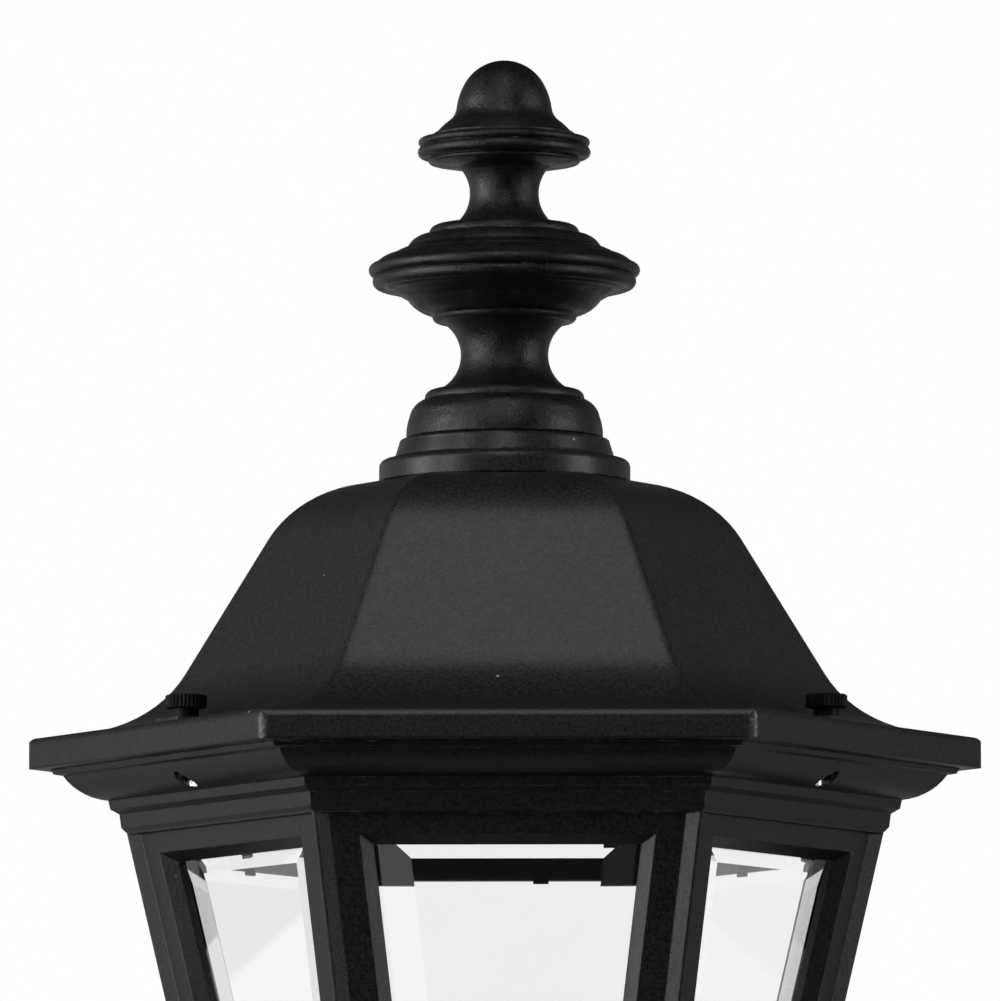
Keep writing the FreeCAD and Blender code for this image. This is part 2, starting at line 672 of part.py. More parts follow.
def make_clip(edge_v, direction, window_v):
    """Stepped strip from the cavity wall over the back of the glass; direction points off the pane."""
    foot_x = -FRAME_T
    step = edge_v + direction * CLIP_CLEAR
    far = step + direction * CLIP_FOOT
    end = window_v - direction * CLIP_SHOWS
    rise = direction * CLIP_T
    section = outline(
        (foot_x, far), (foot_x, step), (GLASS_BACK, step - rise / 2), (GLASS_BACK, end),
        (GLASS_BACK - CLIP_T, end), (GLASS_BACK - CLIP_T, step + rise / 2), (foot_x - CLIP_T, step + rise),
        (foot_x - CLIP_T, far))
    return section.translated(Vector(0, -CLIP_W / 2, 0)).extrude(Vector(0, CLIP_W, 0))


def make_clips():
    top = make_clip(GLASS_TOP, 1, WINDOW_TOP)
    foot = make_clip(GLASS_FOOT, -1, WINDOW_FOOT)
    clips = []
    screws = []
    for clip, (v, asides) in zip((top, foot), clip_places()):
        drilled = clip.cut(clip_screw_axis(CLIP_SCREW_R + HOLE_GAP, CLIP_T, v))
        screw = round_head_screw(CLIP_SCREW_R, CLIP_SCREW_L, CLIP_SCREW_HEAD_R, CLIP_SCREW_HEAD_H)
        screw = screw.rotated(ORIGIN, Vector(0, 1, 0), 90)
        screw = screw.translated(Vector(-FRAME_T - CLIP_T, 0, v))
        clips += on_faces(drilled, asides)
        screws += on_faces(screw, asides)
    return {"glass_clips": Part.makeCompound(clips), "clip_screws": Part.makeCompound(screws)}


def make_base_pan():
    flange = cage_apothem(-CAGE_H) + PAN_OVERHANG
    spigot = cavity_apothem(-CAGE_H) - SEAT_GAP
    top = -CAGE_H
    under = top - PAN_FLANGE_T
    bowl = spigot - PAN_BOWL_STEP
    bowl_foot = bowl - PAN_BOWL_IN
    bowl_foot_z = under - PAN_BOWL_H
    chord = math.hypot(PAN_BOWL_IN, PAN_BOWL_H)
    swell = PAN_BOWL_BULGE / chord
    middle = (bowl - PAN_BOWL_IN / 2 + swell * PAN_BOWL_H, under - PAN_BOWL_H / 2 - swell * PAN_BOWL_IN)
    edge = bend(PAN_EDGE_R)
    hollow = bowl - PAN_WALL
    core = STEM_WASHER_R / 2
    section = outline(
        (core, PAN_FOOT_Z), (core, PAN_FLOOR_Z), (bowl_foot - PAN_WALL, PAN_FLOOR_Z),
        ((middle[0] - PAN_WALL, middle[1] + PAN_WALL / 2), (hollow, under)), (hollow, top + PAN_SPIGOT_H),
        (spigot, top + PAN_SPIGOT_H), (spigot, top), (flange - PAN_EDGE_R, top),
        ((flange - edge, top - edge), (flange, top - PAN_EDGE_R)), (flange, under + PAN_EDGE_R),
        ((flange - edge, under + edge), (flange - PAN_EDGE_R, under)), (bowl, under),
        (middle, (bowl_foot, bowl_foot_z)), (bowl_foot, PAN_FOOT_Z))
    hub = cylinder(STEM_WASHER_R, PAN_FOOT_Z, PAN_FLOOR_Z)
    bore = cylinder(STEM_R + HOLE_GAP, PAN_FOOT_Z - OVER, PAN_FLOOR_Z + OVER)
    screw_hole = cylinder(BASE_SCREW_R + HOLE_GAP, under - OVER, top + OVER, base_screw_out())
    pan = fused([hex_ring(section), hub])
    return pan.cut([bore] + [turned(screw_hole, t) for t in THUMB_SIDES.values()])


def make_base_screws():
    screw = round_head_screw(BASE_SCREW_R, BASE_SCREW_L, BASE_SCREW_HEAD_R, BASE_SCREW_HEAD_H)
    screw = screw.translated(Vector(base_screw_out(), 0, -CAGE_H - PAN_FLANGE_T))
    return Part.makeCompound([turned(screw, t) for t in THUMB_SIDES.values()])


def make_collar():
    socket_z = COLLAR_FOOT_Z + COLLAR_SOCKET
    bore = STEM_R + THREAD_GAP
    socket = ARM_R + THREAD_GAP
    rim_z = PAN_FOOT_Z - COLLAR_RIM_H
    waist = (COLLAR_FOOT_R + COLLAR_R) / 2
    return revolved(
        (bore, PAN_FOOT_Z), (COLLAR_R - EDGE, PAN_FOOT_Z), (COLLAR_R, PAN_FOOT_Z - EDGE),
        (COLLAR_R, rim_z + EDGE), (COLLAR_R - EDGE, rim_z), (waist, rim_z),
        ((COLLAR_FOOT_R + COLLAR_HOLLOW, (rim_z + COLLAR_FOOT_Z) / 2), (COLLAR_FOOT_R, COLLAR_FOOT_Z)),
        (socket, COLLAR_FOOT_Z), (socket, socket_z), (bore, socket_z))


def make_stem():
    low = PAN_FOOT_Z - STEM_IN_COLLAR
    high = CLUSTER_Z - CLUSTER_T
    pipe = cylinder(STEM_R, low, high).cut(cylinder(STEM_BORE_R, low - OVER, high + OVER))
    washer = cylinder(STEM_WASHER_R, PAN_FLOOR_Z, PAN_FLOOR_Z + STEM_WASHER_T)
    washer = washer.cut(cylinder(STEM_R + HOLE_GAP, PAN_FOOT_Z, CLUSTER_Z))
    stem_nut = nut(STEM_NUT_AF, STEM_NUT_H, STEM_R + THREAD_GAP)
    stem_nut = stem_nut.translated(UP * (PAN_FLOOR_Z + STEM_WASHER_T))
    return {"stem": pipe, "stem_washer": washer, "stem_nut": stem_nut}


def lamp_places():
    return [90 + 360 / LAMP_COUNT * i for i in range(LAMP_COUNT)]


def make_cluster():
    """Turned dish on the stem that carries the lamp holders."""
    under = CLUSTER_Z - CLUSTER_T
    hub_foot = CLUSTER_Z - CLUSTER_HUB_H
    bore = STEM_R + THREAD_GAP
    dish_z = under - CLUSTER_DISH
    middle = ((CLUSTER_HUB_R + CLUSTER_R) / 2 - CLUSTER_DISH, dish_z + CLUSTER_DISH / 3)
    dish = revolved(
        (bore, hub_foot), (CLUSTER_HUB_R, hub_foot), (CLUSTER_HUB_R, dish_z),
        (middle, (CLUSTER_R - CLUSTER_T, under)), (CLUSTER_R, under), (CLUSTER_R, CLUSTER_Z),
        (STEM_BORE_R, CLUSTER_Z), (STEM_BORE_R, under), (bore, under))
    hole = cylinder(HOLDER_SCREW_R + HOLE_GAP, hub_foot, CLUSTER_Z + OVER, LAMP_OUT)
    spot = cylinder(HOLDER_SCREW_HEAD_R + HOLE_GAP, hub_foot, under, LAMP_OUT)
    cuts = [turned(cut, t) for cut in (hole, spot) for t in lamp_places()]
    return dish.cut(cuts)


def make_lamp():
    """Holder, its screw, candle sleeve and bulb of one lamp, standing on the axis."""
    base = CLUSTER_Z
    bore_z = HOLDER_TOP - HOLDER_BORE_DEPTH
    holder = revolved(
        (0, base), (HOLDER_R, base), (HOLDER_R, HOLDER_TOP - EDGE), (HOLDER_R - EDGE, HOLDER_TOP),
        (HOLDER_BORE_R, HOLDER_TOP), (HOLDER_BORE_R, bore_z), (0, bore_z))
    screw_reach = base - CLUSTER_T + HOLDER_SCREW_L
    holder = holder.cut(cylinder(HOLDER_SCREW_R + THREAD_GAP, base - OVER, screw_reach + SCREW_CLEAR))
    screw = round_head_screw(HOLDER_SCREW_R, HOLDER_SCREW_L, HOLDER_SCREW_HEAD_R, HOLDER_SCREW_HEAD_H)
    screw = screw.translated(UP * (base - CLUSTER_T))
    sleeve = cylinder(SLEEVE_R, base, HOLDER_TOP + SLEEVE_OVER)
    sleeve = sleeve.cut(cylinder(SLEEVE_BORE_R, base - OVER, HOLDER_TOP + SLEEVE_OVER + OVER))
    glass_z = HOLDER_TOP + BULB_NECK
    tip = glass_z + BULB_GLASS_H
    wide_z = glass_z + BULB_WIDE_H
    bulb = revolved(
        (0, bore_z), (BULB_CAP_R / 2, bore_z), (BULB_CAP_R, bore_z + BULB_CAP_R / 2), (BULB_CAP_R, glass_z),
        ((BULB_LOWER_R, (glass_z + wide_z) / 2), (BULB_R, wide_z)),
        ((BULB_UPPER_R, (wide_z + tip) / 2), (BULB_TIP_R, tip)), (0, tip))
    return {"lamp_holder": holder, "holder_screw": screw, "candle_sleeve": sleeve, "bulb": bulb}


def arm_solid(radius, over):
    """Round bar along the arm's bend; over lengthens it at both ends."""
    root_y = POCKET_END + ARM_TAIL + over
    bend_y = -AXIS_OUT + ARM_BEND_R
    bend_z = ARM_ROOT_Z + ARM_BEND_R
    back = Vector(0, -1, 0)
    level = Part.makeCylinder(radius, root_y - bend_y, Vector(0, root_y, ARM_ROOT_Z), back)
    ring = Part.Face(Part.Wire(Part.makeCircle(radius, Vector(0, bend_y, ARM_ROOT_Z), back)))
    elbow = ring.revolve(Vector(0, bend_y, bend_z), Vector(-1, 0, 0), 90)
    rise = Part.makeCylinder(radius, ARM_TOP_Z - bend_z + over, Vector(0, -AXIS_OUT, bend_z), UP)
    return fused([level, elbow, rise])


def make_arm():
    return arm_solid(ARM_R, 0).cut(arm_solid(ARM_BORE_R, OVER))


def on_plate(shape, y, z):
    """From the axis of +Z to a line out of the wall, starting at y and height z."""
    return shape.rotated(ORIGIN, Vector(1, 0, 0), 90).translated(Vector(0, y, z))


def make_arm_fixing():
    bore = ARM_R + HOLE_GAP
    cove = (bore + (ROSETTE_R - bore) / 3, (ROSETTE_RIM + ROSETTE_T) / 2)
    rosette = revolved(
        (bore, 0), (ROSETTE_R, 0), (ROSETTE_R, ROSETTE_RIM - EDGE), (ROSETTE_R - EDGE, ROSETTE_RIM),
        (cove, (bore + 2 * EDGE, ROSETTE_T)), (bore, ROSETTE_T))
    arm_nut = nut(ARM_NUT_AF, ARM_NUT_H, ARM_R + THREAD_GAP)
    return {"arm_rosette": on_plate(rosette, PLATE_FRONT, ARM_ROOT_Z),
            "arm_nut": on_plate(arm_nut, POCKET_END + ARM_NUT_H, ARM_ROOT_Z)}


def plate_wire(inset, y):
    x = PLATE_W / 2 - inset
    z = PLATE_H / 2 - inset
    corners = [Vector(-x, y, -z), Vector(x, y, -z), Vector(x, y, z), Vector(-x, y, z)]
    return rounded_wire(corners, PLATE_CORNER_R)


def plate_block(inset, y, depth):
    return Part.Face(plate_wire(inset, y)).extrude(Vector(0, -depth, 0))


def make_wall_plate():
    slab = plate_block(0, PLATE_BACK, PLATE_SLAB_T)
    rise_y = PLATE_BACK - PLATE_SLAB_T
    field = Part.makeLoft(
        [plate_wire(PLATE_MARGIN, rise_y), plate_wire(PLATE_MARGIN + PLATE_BEVEL, PLATE_FRONT)], True, True)
    pocket = plate_block(POCKET_MARGIN, PLATE_BACK + OVER, PLATE_BACK + OVER - POCKET_END)
    holes = [on_plate(cylinder(ARM_R + HOLE_GAP, -OVER, PLATE_WALL + OVER), POCKET_END, ARM_ROOT_Z)]
    for z in (-STUD_SPACING / 2, STUD_SPACING / 2):
        holes.append(on_plate(cylinder(STUD_R + HOLE_GAP, -OVER, PLATE_WALL + OVER), POCKET_END, z))
    return fused([slab, field]).cut([pocket] + holes)


def make_gasket():
    ring = plate_block(GASKET_INSET, 0, GASKET_T)
    return ring.cut(plate_block(GASKET_INSET + GASKET_W, OVER, GASKET_T + 2 * OVER))


def make_strap_parts():
    strap = Part.makeBox(STRAP_W, STRAP_T, STRAP_H, Vector(-STRAP_W / 2, -STRAP_T, -STRAP_H / 2))
    holes = [on_plate(cylinder(EARTH_SCREW_R + THREAD_GAP, -OVER, STRAP_T + OVER), 0, EARTH_SCREW_Z)]
    for side in (-1, 1):
        box_z = side * BOX_SCREW_SPACING / 2
        holes.append(on_plate(cylinder(BOX_SCREW_HOLE_R, -OVER, STRAP_T + OVER), 0, box_z))
        stud_z = side * STUD_SPACING / 2
        holes.append(on_plate(cylinder(STUD_R + THREAD_GAP, -OVER, STRAP_T + OVER), 0, stud_z))
    strap = strap.cut(holes)
    stud_l = -PLATE_FRONT + STUD_IN_NUT
    dome_r = CAP_NUT_AF / 2
    cap = hex_prism(dome_r, 0, CAP_NUT_H)
    crown = revolved((0, 0), (dome_r, 0), (dome_r, CAP_NUT_H), dome(dome_r, CAP_NUT_H, CAP_NUT_DOME))
    cap = fused([cap, crown]).cut(cylinder(STUD_R + THREAD_GAP, -OVER, STUD_IN_NUT + SCREW_CLEAR))
    studs = []
    caps = []
    for z in (-STUD_SPACING / 2, STUD_SPACING / 2):
        studs.append(on_plate(cylinder(STUD_R, 0, stud_l), 0, z))
        caps.append(on_plate(cap, PLATE_FRONT, z))
    earth = round_head_screw(EARTH_SCREW_R, STRAP_T, EARTH_SCREW_HEAD_R, EARTH_SCREW_HEAD_H)
    earth = on_plate(earth.rotated(ORIGIN, Vector(1, 0, 0), 180), -STRAP_T, EARTH_SCREW_Z)
    return {"mounting_strap": strap, "plate_studs": Part.makeCompound(studs),
            "cap_nuts": Part.makeCompound(caps), "earth_screw": earth}


def lantern_parts():
    """Pieces drawn about the lantern's own axis."""
    parts = {"roof": make_roof(), "finial": make_finial(), "cage": make_cage()}
    parts.update(make_finial_fixing())
    screw = make_thumb_screw()
    for name, azimuth in THUMB_SIDES.items():
        parts["thumb_screw_" + name] = turned(screw, azimuth)
    pane = make_glass()
    for name, azimuth in FACES.items():
        parts["glass_" + name] = face_to_lantern(pane, azimuth)
    parts.update(make_clips())
    parts["base_pan"] = make_base_pan()
    parts["base_screws"] = make_base_screws()
    parts["arm_collar"] = make_collar()
    parts.update(make_stem())
    parts["lamp_cluster"] = make_cluster()
    lamp = make_lamp()
    out = Vector(LAMP_OUT, 0, 0)
    screws = []
    for i, azimuth in enumerate(lamp_places()):
        for name in ("lamp_holder", "candle_sleeve", "bulb"):
            parts[f"{name}_{i + 1}"] = turned(lamp[name].translated(out), azimuth)
        screws.append(turned(lamp["holder_screw"].translated(out), azimuth))
    parts["holder_screws"] = Part.makeCompound(screws)
    return parts


def wall_parts():
    """Pieces drawn about the wall plate."""
    parts = {"arm": make_arm(), "wall_plate": make_wall_plate(), "gasket": make_gasket()}
    parts.update(make_arm_fixing())
    parts.update(make_strap_parts())
    return parts


def main():
    os.makedirs("parts", exist_ok=True)
    parts = wall_parts()
    for name, shape in lantern_parts().items():
        parts[name] = shape.translated(Vector(0, -AXIS_OUT, EAVE_Z))
    for name, shape in parts.items():
        shape.exportStep(f"parts/{name}.step")


main()
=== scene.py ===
import json
import math
import bpy
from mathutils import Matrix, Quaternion, Vector


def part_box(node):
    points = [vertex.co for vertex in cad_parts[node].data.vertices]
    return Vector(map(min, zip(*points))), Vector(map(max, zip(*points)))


# Looks of the wall lantern: materials on its pieces, soft studio light and the photo's camera.
# Metres, in the part's own frame: the wall is at +Y, the lantern stands out towards -Y, +Z is up.

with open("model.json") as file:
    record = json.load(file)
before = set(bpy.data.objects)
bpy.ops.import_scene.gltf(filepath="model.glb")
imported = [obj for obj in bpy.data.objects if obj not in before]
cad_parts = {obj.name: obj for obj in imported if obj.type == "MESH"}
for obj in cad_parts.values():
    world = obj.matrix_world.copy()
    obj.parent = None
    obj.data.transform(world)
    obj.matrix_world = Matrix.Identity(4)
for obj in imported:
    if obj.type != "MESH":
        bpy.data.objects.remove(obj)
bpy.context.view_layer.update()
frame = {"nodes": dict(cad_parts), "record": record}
nodes = frame["nodes"]
record = frame["record"]

# Heights of the hips' feet above the roof's lower edge, of its crown, and of a bulb's cap above its sleeve
HIP_FOOT_H = 0.012
CROWN_H = 0.0134
BULB_CAP_H = 0.002

# Places on the lantern
roof_low, roof_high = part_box("roof")
AXIS_Y = (roof_low.y + roof_high.y) / 2
EAVE_R = (roof_high.x - roof_low.x) / 2
EAVE_TURNS = [math.radians(turn) for turn in range(30, 390, 60)]
EAVE_CORNERS = [(EAVE_R * math.sin(turn), AXIS_Y + EAVE_R * math.cos(turn)) for turn in EAVE_TURNS]
HIPS = (roof_low.z + HIP_FOOT_H, roof_high.z - CROWN_H)
SCREW_AXES = [joint["pos_m"][:2] for joint in record["behaviour"]["joints"] if joint["type"] == "hinge"]
BULB_CAP_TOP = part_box("candle_sleeve_1")[1].z + BULB_CAP_H


class Graph:
    """A shader node tree, with the few kinds of node that the finishes and the world are made of."""

    def __init__(self, tree):
        self.tree = tree

    def node(self, kind, inputs=None, **settings):
        made = self.tree.nodes.new(kind)
        for key, value in settings.items():
            setattr(made, key, value)
        for key, value in (inputs or {}).items():
            self.put(made.inputs[key], value)
        return made

    def put(self, socket, value):
        if isinstance(value, bpy.types.NodeSocket):
            self.tree.links.new(value, socket)
        else:
            socket.default_value = value

    def calc(self, operation, first, second=0.0):
        return self.node("ShaderNodeMath", {0: first, 1: second}, operation=operation).outputs[0]

    def product(self, first, *factors):
        for factor in factors:
            first = self.calc("MULTIPLY", first, factor)
        return first

    def largest(self, first, *values):
        for value in values:
            first = self.calc("MAXIMUM", first, value)
        return first

    def span(self, value, low, high, to_low=0.0, to_high=1.0):
        """A value's range, low to high, turned smoothly into another range."""
        return self.node("ShaderNodeMapRange", {
            "Value": value, "From Min": low, "From Max": high, "To Min": to_low, "To Max": to_high},
            interpolation_type="SMOOTHSTEP").outputs["Result"]


class Surface(Graph):
    """One material of a piece."""

    def __init__(self, name):
        self.mat = bpy.data.materials.new(name)
        self.mat.use_nodes = True
        super().__init__(self.mat.node_tree)
        self.bsdf = self.tree.nodes["Principled BSDF"]
        self.place = self.node("ShaderNodeTexCoord").outputs["Object"]

    def set(self, **values):
        for key, value in values.items():
            self.put(self.bsdf.inputs[key.replace("_", " ")], value)

    def clear_where(self, factor, tint=(1.0, 1.0, 1.0, 1.0)):
        """Make the surface see-through, with a tint, where a factor is 1."""
        clear = self.node("ShaderNodeBsdfTransparent", {"Color": tint})
        both = self.node("ShaderNodeMixShader", {0: factor, 1: self.bsdf.outputs[0], 2: clear.outputs[0]})
        self.put(self.tree.nodes["Material Output"].inputs["Surface"], both.outputs[0])

    def stretched(self, scale):
        return self.node("ShaderNodeMapping", {"Vector": self.place, "Scale": scale}).outputs["Vector"]

    def height(self):
        return self.node("ShaderNodeSeparateXYZ", {0: self.place}).outputs["Z"]

    def noise(self, scale, detail=3.0, rough=0.55, place=None):
        inputs = {"Vector": place or self.place, "Scale": scale, "Detail": detail, "Roughness": rough}
        return self.node("ShaderNodeTexNoise", inputs).outputs["Fac"]

    def blend(self, factor, first, second):
        made = self.node("ShaderNodeMix", {"Factor": factor}, data_type="RGBA")
        self.put(made.inputs[6], first)
        self.put(made.inputs[7], second)
        return made.outputs[2]

    def bump(self, height, distance, strength=1.0, normal=None):
        inputs = {"Height": height, "Distance": distance, "Strength": strength}
        if normal is not None:
            inputs["Normal"] = normal
        return self.node("ShaderNodeBump", inputs).outputs["Normal"]

    def rounded(self, radius):
        """Normal that rounds the edges off."""
        return self.node("ShaderNodeBevel", {"Radius": radius}, samples=6).outputs["Normal"]

    def turning(self, normal):
        """How far a normal turns away from the flat faces, 0 where it doesn't."""
        flat = self.node("ShaderNodeNewGeometry").outputs["Normal"]
        same = self.node("ShaderNodeVectorMath", {0: normal, 1: flat}, operation="DOT_PRODUCT")
        return self.calc("SUBTRACT", 1.0, same.outputs["Value"])

    def specks(self, scale, size):
        """Small round dots in about a third of the cells of that scale."""
        cells = self.node("ShaderNodeTexVoronoi", {"Vector": self.place, "Scale": scale}).outputs
        draw = self.node("ShaderNodeSeparateColor", {0: cells["Color"]}).outputs[0]
        dot = self.span(cells["Distance"], size, size * 1.6, 1.0, 0.0)
        return self.product(self.calc("GREATER_THAN", draw, 0.65), dot)

    def gap(self, axes):
        """Distance in plan to the nearest of some upright axes."""
        plan = self.stretched((1.0, 1.0, 0.0))
        nearest = 1.0
        for x, y in axes:
            away = self.node("ShaderNodeVectorMath", {0: plan, 1: (x, y, 0.0)}, operation="DISTANCE")
            nearest = self.calc("MINIMUM", away.outputs["Value"], nearest)
        return nearest

    def inner_sides(self, axes, radius):
        """1 within a radius of any upright axis, on its side towards the lantern's middle, else 0."""
        reach = math.hypot(axes[0][0], axes[0][1] - AXIS_Y) - radius / 4
        inside = self.calc("LESS_THAN", self.gap([(0.0, AXIS_Y)]), reach)
        return self.product(self.calc("LESS_THAN", self.gap(axes), radius), inside)


def grey(level, warm=0.0):
    return (level * (1 + warm), level, level * (1 - warm), 1.0)


# Black paint: its rounded edges and bare places (bare metal on the inner side of the screw bores, as a
# painted glint), scales of its unevenness from fine to broad, and its tones
EDGE_R = 0.0007
HIP_R = 0.0036
HIP_FADE_LOW = 0.010
HIP_FADE_TOP = 0.003
BORE_R = 0.0036
CHIP_CORE = 0.0003
CHIP_REACH = 0.0024
DOTS = 1100.0
GRAIN = 1000.0
SKIN = 420.0
PATCHES = 160.0
SPECKS = 90.0
SPECK_SIZE = 0.035
SWELL = 38.0
PAINT_DARK = 0.0021
PAINT_LIGHT = 0.0185
PAINT_ROUGH = (0.335, 0.375)
WORN_PAINT = grey(0.20, 0.02)
BARE_METAL_GLINT = grey(0.86, 0.01)


def black(level):
    """Paint black, a little blue."""
    return (level * 0.95, level, level * 1.18, 1.0)


def black_paint(name, tone=1.0, coarse=1.0, dull=0.0, mottle=0.0, hips=None, corners=(), drilled=()):
    """Satin black over a casting, rubbed along some edges, chipped at corners, bare metal as a painted
    glint on the inner side of drilled holes, whose outer side keeps the black as painted shade.
    """
    s = Surface(name)
    grain = s.noise(GRAIN, 3.0, 0.75)
    skin = s.noise(SKIN, 3.0)
    patches = s.noise(PATCHES, 4.0, 0.65)
    swell = s.noise(SWELL, 2.0)

    # Edges, softer along the roof's hips, which are not rubbed
    radius = EDGE_R
    unsoftened = 1.0
    if hips:
        low, top = hips
        height = s.height()
        above = s.span(height, low, low + HIP_FADE_LOW)
        below = s.span(height, top - HIP_FADE_TOP, top, 1.0, 0.0)
        slopes = s.product(above, below)
        radius = s.span(slopes, 0.0, 1.0, EDGE_R, HIP_R)
        unsoftened = s.calc("SUBTRACT", 1.0, slopes)
    rounded = s.rounded(radius)

    # Wear
    rubbed = s.product(s.span(s.turning(rounded), 0.03, 0.14), s.span(patches, 0.47, 0.62), unsoftened)
    if corners:
        chips = s.span(s.gap(corners), CHIP_CORE, CHIP_REACH, 0.5, 0.0)
        rubbed = s.largest(rubbed, s.product(chips, s.span(patches, 0.42, 0.54)))
    dots = s.span(s.noise(DOTS, 1.0), 0.50, 0.62, 0.25, 1.0)
    specks = s.product(s.specks(SPECKS, SPECK_SIZE), s.span(patches, 0.5, 0.6))
    worn = s.largest(s.product(rubbed, dots), specks)

    # Colour, roughness and relief
    shade = s.calc("ADD", s.product(swell, 0.3), s.product(s.span(grain, 0.38, 0.62), 0.7))
    paint = s.blend(shade, black(PAINT_DARK * tone), black(PAINT_LIGHT * tone))
    colour = s.blend(worn, paint, WORN_PAINT)
    least, greatest = PAINT_ROUGH
    unevenness = s.calc("ADD", skin, s.product(swell, 0.5))
    rough = s.span(unevenness, 0.45, 1.05, least + dull, greatest + dull)
    if mottle:
        rough = s.calc("ADD", rough, s.span(patches, 0.36, 0.64, -mottle, mottle))
    # Bare metal only on the bore's side towards the lantern's middle is a painted glint; the bore's outer
    # side keeps black paint as painted shade
    if drilled:
        bare_glint_side = s.inner_sides(drilled, BORE_R)
        colour = s.blend(bare_glint_side, colour, BARE_METAL_GLINT)
        rough = s.calc("SUBTRACT", rough, s.product(bare_glint_side, 0.15))
        s.set(Metallic=bare_glint_side)
    normal = s.bump(swell, 0.0020, 0.04 * coarse, rounded)
    normal = s.bump(skin, 0.00030, 0.06 * coarse, normal)
    normal = s.bump(grain, 0.00012, 0.5 * coarse, normal)
    s.set(Base_Color=colour, Roughness=rough, Specular_IOR_Level=0.5, Normal=normal)
    return s.mat


def black_screw():
    """Blackened steel, rubbed on the knurl's edges."""
    s = Surface("black_screw")
    rounded = s.rounded(0.0003)
    rubbed = s.product(s.span(s.turning(rounded), 0.06, 0.2), s.span(s.noise(500.0, 3.0), 0.56, 0.70))
    oxide = s.blend(s.noise(300.0), grey(0.0012), grey(0.0034))
    s.set(Base_Color=s.blend(rubbed, oxide, grey(0.06, 0.02)), Specular_IOR_Level=0.18,
          Roughness=s.span(s.noise(700.0), 0.3, 0.7, 0.48, 0.60),
          Normal=s.bump(s.noise(1800.0), 0.00006, 0.5, rounded))
    return s.mat


def clear_glass():
    """Clear panes that let shadow and diffuse light straight through."""
    s = Surface("clear_glass")
    tint = s.blend(s.noise(30.0), (0.985, 0.995, 0.99, 1.0), (1.0, 1.0, 1.0, 1.0))
    s.set(Base_Color=tint, Roughness=0.0, IOR=1.5, Transmission_Weight=1.0)
    path = s.node("ShaderNodeLightPath").outputs
    s.clear_where(s.largest(path["Is Shadow Ray"], path["Is Diffuse Ray"]), grey(0.94))
    return s.mat


def plated_steel():
    """Zinc plating with fine drawn lines."""
    s = Surface("plated_steel")
    lines = s.noise(60.0, 3.0, place=s.stretched((1.0, 1.0, 14.0)))
    s.set(Base_Color=s.blend(s.noise(140.0), grey(0.52, 0.015), grey(0.66, 0.015)), Metallic=1.0,
          Roughness=s.span(lines, 0.3, 0.7, 0.30, 0.44),
          Normal=s.bump(lines, 0.00005, 0.4, s.rounded(0.0004)))
    return s.mat


def brass():
    """Satin brass, a little clouded."""
    s = Surface("brass")
    cloud = s.noise(70.0, 4.0)
    s.set(Base_Color=s.blend(cloud, (0.50, 0.33, 0.12, 1.0), (0.72, 0.52, 0.22, 1.0)), Metallic=1.0,
          Roughness=s.span(cloud, 0.3, 0.7, 0.26, 0.42),
          Normal=s.bump(s.noise(500.0), 0.00006, 0.5, s.rounded(0.0005)))
    return s.mat


def plain(name, low, high, rough, grain, depth):
    """Moulded, painted or rubbery surface with a little mottling."""
    s = Surface(name)
    cloud = s.noise(grain / 8, 4.0)
    s.set(Base_Color=s.blend(cloud, low, high), Roughness=s.span(cloud, 0.3, 0.7, rough, rough + 0.12),
          Normal=s.bump(s.noise(grain, 3.0), depth, 0.6, s.rounded(0.0005)))
    return s.mat


def frosted_bulb():
    """White frosted glass above a metal cap."""
    s = Surface("frosted_bulb")
    cap = s.calc("LESS_THAN", s.height(), BULB_CAP_TOP)
    cloud = s.noise(90.0, 3.0)
    frost = s.blend(cloud, (0.86, 0.85, 0.81, 1.0), (0.93, 0.92, 0.89, 1.0))
    s.set(Base_Color=s.blend(cap, frost, grey(0.6)), Metallic=cap,
          Roughness=s.span(cloud, 0.3, 0.7, 0.32, 0.42),
          Transmission_Weight=s.product(s.calc("SUBTRACT", 1.0, cap), 0.35),
          Normal=s.bump(cloud, 0.0001, 0.3))
    return s.mat


GREENS = ((0.03, 0.2, 0.06, 1.0), (0.06, 0.3, 0.1, 1.0))
IVORIES = ((0.72, 0.67, 0.56, 1.0), (0.82, 0.78, 0.68, 1.0))
finishes = {
    "black_paint": black_paint("black_paint"),
    "black_screw": black_screw(),
    "clear_glass": clear_glass(),
    "dark_spring_steel": plain("dark_spring_steel", grey(0.006), grey(0.014), 0.42, 900.0, 0.00005),
    "plated_steel": plated_steel(),
    "brass": brass(),
    "green_screw": plain("green_screw", *GREENS, 0.35, 900.0, 0.00005),
    "holder_plastic": plain("holder_plastic", grey(0.025), grey(0.045), 0.45, 1200.0, 0.00006),
    "candle_plastic": plain("candle_plastic", *IVORIES, 0.42, 700.0, 0.0001),
    "frosted_bulb": frosted_bulb(),
    "gasket_rubber": plain("gasket_rubber", grey(0.018), grey(0.035), 0.75, 1600.0, 0.0002),
}
castings = {
    "cage": black_paint("black_paint_drilled", drilled=SCREW_AXES),
    "roof": black_paint("black_paint_roof", hips=HIPS, corners=EAVE_CORNERS),
    # The finial's paint is a darker copy (tone 0.5): painted shade for its dark undersides and grooves
    "finial": black_paint("black_paint_finial", tone=0.5, coarse=3.5, dull=0.01, mottle=0.09),
}
for piece in record["subparts"]:
    mesh = nodes[piece["node"]].data
    mesh.materials.clear()
    mesh.materials.append(castings.get(piece["node"], finishes[piece["material_slot"]]))


def area_light(name, place, aim, size, watts):
    lamp = bpy.data.lights.new(name, "AREA")
    lamp.shape = "RECTANGLE"
    lamp.size, lamp.size_y = size
    lamp.energy = watts
    holder = bpy.data.objects.new(name, lamp)
    holder.visible_camera = False
    holder.location = place
    holder.rotation_euler = (Vector(aim) - Vector(place)).to_track_quat("-Z", "Y").to_euler()
    bpy.context.scene.collection.objects.link(holder)


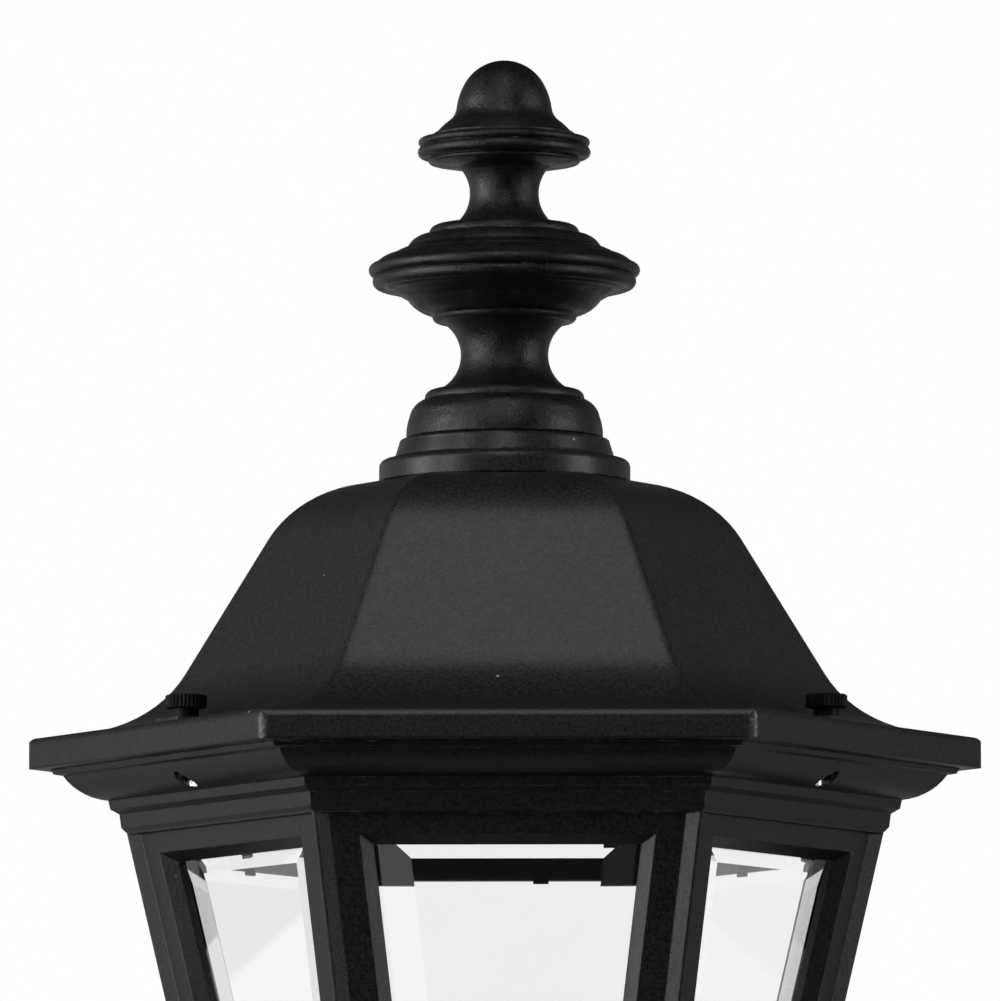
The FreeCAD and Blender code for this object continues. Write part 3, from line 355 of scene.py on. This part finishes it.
MIDDLE = (0.0, AXIS_Y, 0.3)
FINIAL_FOOT = (0.0, AXIS_Y, 0.4)
FRONT_RIGHT_HIP = (0.06, -0.28, 0.3)
area_light("key_left", place=(-2.157, -0.478, 0.606), aim=MIDDLE, size=(0.7, 2.0), watts=20.0)
area_light("strip_left", place=(-0.512, -0.589, 0.42), aim=FRONT_RIGHT_HIP, size=(0.06, 0.9), watts=1.3)
area_light("strip_right", place=(2.068, -0.768, 0.757), aim=MIDDLE, size=(0.7, 1.8), watts=13.0)
area_light("top_soft", place=(0.0, -1.208, 2.243), aim=MIDDLE, size=(0.8, 0.8), watts=4.1)
area_light("front_soft", place=(-0.05, -1.54, 1.23), aim=FINIAL_FOOT, size=(0.32, 0.8), watts=2.4)


def studio_world():
    """White backdrop, with a plain even light and a dimmer room for the paint to reflect."""
    world = bpy.data.worlds.new("studio")
    world.use_nodes = True
    bpy.context.scene.world = world
    g = Graph(world.node_tree)
    path = g.node("ShaderNodeLightPath").outputs
    way = g.node("ShaderNodeTexCoord").outputs["Generated"]
    x, y, z = g.node("ShaderNodeSeparateXYZ", {0: way}).outputs
    unbounced = g.calc("LESS_THAN", path["Diffuse Depth"], 0.5)
    unmirrored = g.calc("LESS_THAN", path["Glossy Depth"], 0.5)
    rear = g.span(y, 0.0, 0.3)

    # Room in the paint's gloss: lighter to the left and behind, dark below and in the upper middle behind
    sides = g.calc("SUBTRACT", 0.30, g.product(x, 0.14))
    heights = g.product(g.span(z, -0.1, 0.7, 1.0, 0.20), g.span(z, -0.62, -0.42, 0.04, 1.0))
    depths = g.span(y, -0.5, 0.45, 0.12, 1.0)
    centre = g.span(g.calc("ABSOLUTE", x), 0.25, 0.6, 1.0, 0.0)
    shaded = g.product(centre, g.span(y, 0.3, 0.6), g.span(z, 0.2, 0.45, 0.0, 0.75))
    room = g.product(sides, heights, depths, g.calc("SUBTRACT", 1.0, shaded))

    # Even light on the surfaces themselves, less from below
    even = g.product(path["Is Diffuse Ray"], unmirrored, g.span(z, -0.7, 0.1, 0.07, 0.62))

    # Backdrop through the panes, straight or in a glossy surface
    behind = g.product(rear, g.span(x, -0.8, 0.8, 0.25, 1.0), unbounced)
    through = g.product(path["Is Transmission Ray"], g.largest(g.product(unmirrored, unbounced), behind))

    # Backdrop and two soft cards beside the camera, mirrored by the panes' bevels
    cards = g.calc("ADD", g.span(x, -0.26, -0.12, 1.5, 0.0), g.span(x, 0.12, 0.26, 0.0, 0.25))
    cards = g.product(cards, g.span(y, -0.8, -0.6, 1.0, 0.0))
    mirrored = g.product(path["Is Singular Ray"], path["Is Reflection Ray"], g.calc("ADD", cards, rear))

    back = world.node_tree.nodes["Background"]
    g.put(back.inputs["Color"], (1.0, 1.0, 1.0, 1.0))
    g.put(back.inputs["Strength"], g.largest(room, even, path["Is Camera Ray"], through, mirrored))


studio_world()


def pale_floor(z, half):
    """Pale floor below the lantern, seen from above only."""
    front = AXIS_Y - half
    rear = AXIS_Y + half
    corners = [(-half, front, z), (half, front, z), (half, rear, z), (-half, rear, z)]
    mesh = bpy.data.meshes.new("floor")
    mesh.from_pydata(corners, [], [(0, 1, 2, 3)])
    floor = bpy.data.objects.new("floor", mesh)
    bpy.context.scene.collection.objects.link(floor)
    s = Surface("floor")
    s.set(Base_Color=s.blend(s.noise(6.0), grey(0.80), grey(0.84)), Roughness=0.8)
    s.clear_where(s.node("ShaderNodeNewGeometry").outputs["Backfacing"])
    mesh.materials.append(s.mat)


pale_floor(z=-2.2, half=0.7)


def photo_camera(aim, distance, azimuth, pitch, roll, lens):
    """Long lens aimed at a point, turned by angles in degrees."""
    data = bpy.data.cameras.new("camera")
    data.lens = lens
    data.sensor_width = 36.0
    data.clip_end = 100.0
    turn = math.radians(azimuth)
    rise = math.radians(pitch)
    view = Vector((math.sin(turn) * math.cos(rise), math.cos(turn) * math.cos(rise), math.sin(rise)))
    rolled = Quaternion((0.0, 0.0, 1.0), math.radians(roll))
    camera = bpy.data.objects.new("camera", data)
    camera.location = Vector(aim) - view * distance
    camera.rotation_euler = (view.to_track_quat("-Z", "Y") @ rolled).to_euler()
    bpy.context.scene.collection.objects.link(camera)
    bpy.context.scene.camera = camera


photo_camera(aim=(-0.0015, AXIS_Y, 0.3548), distance=3.78, azimuth=0.38, pitch=5.37, roll=-0.09, lens=431.6)
bpy.context.scene.view_settings.view_transform = "Standard"
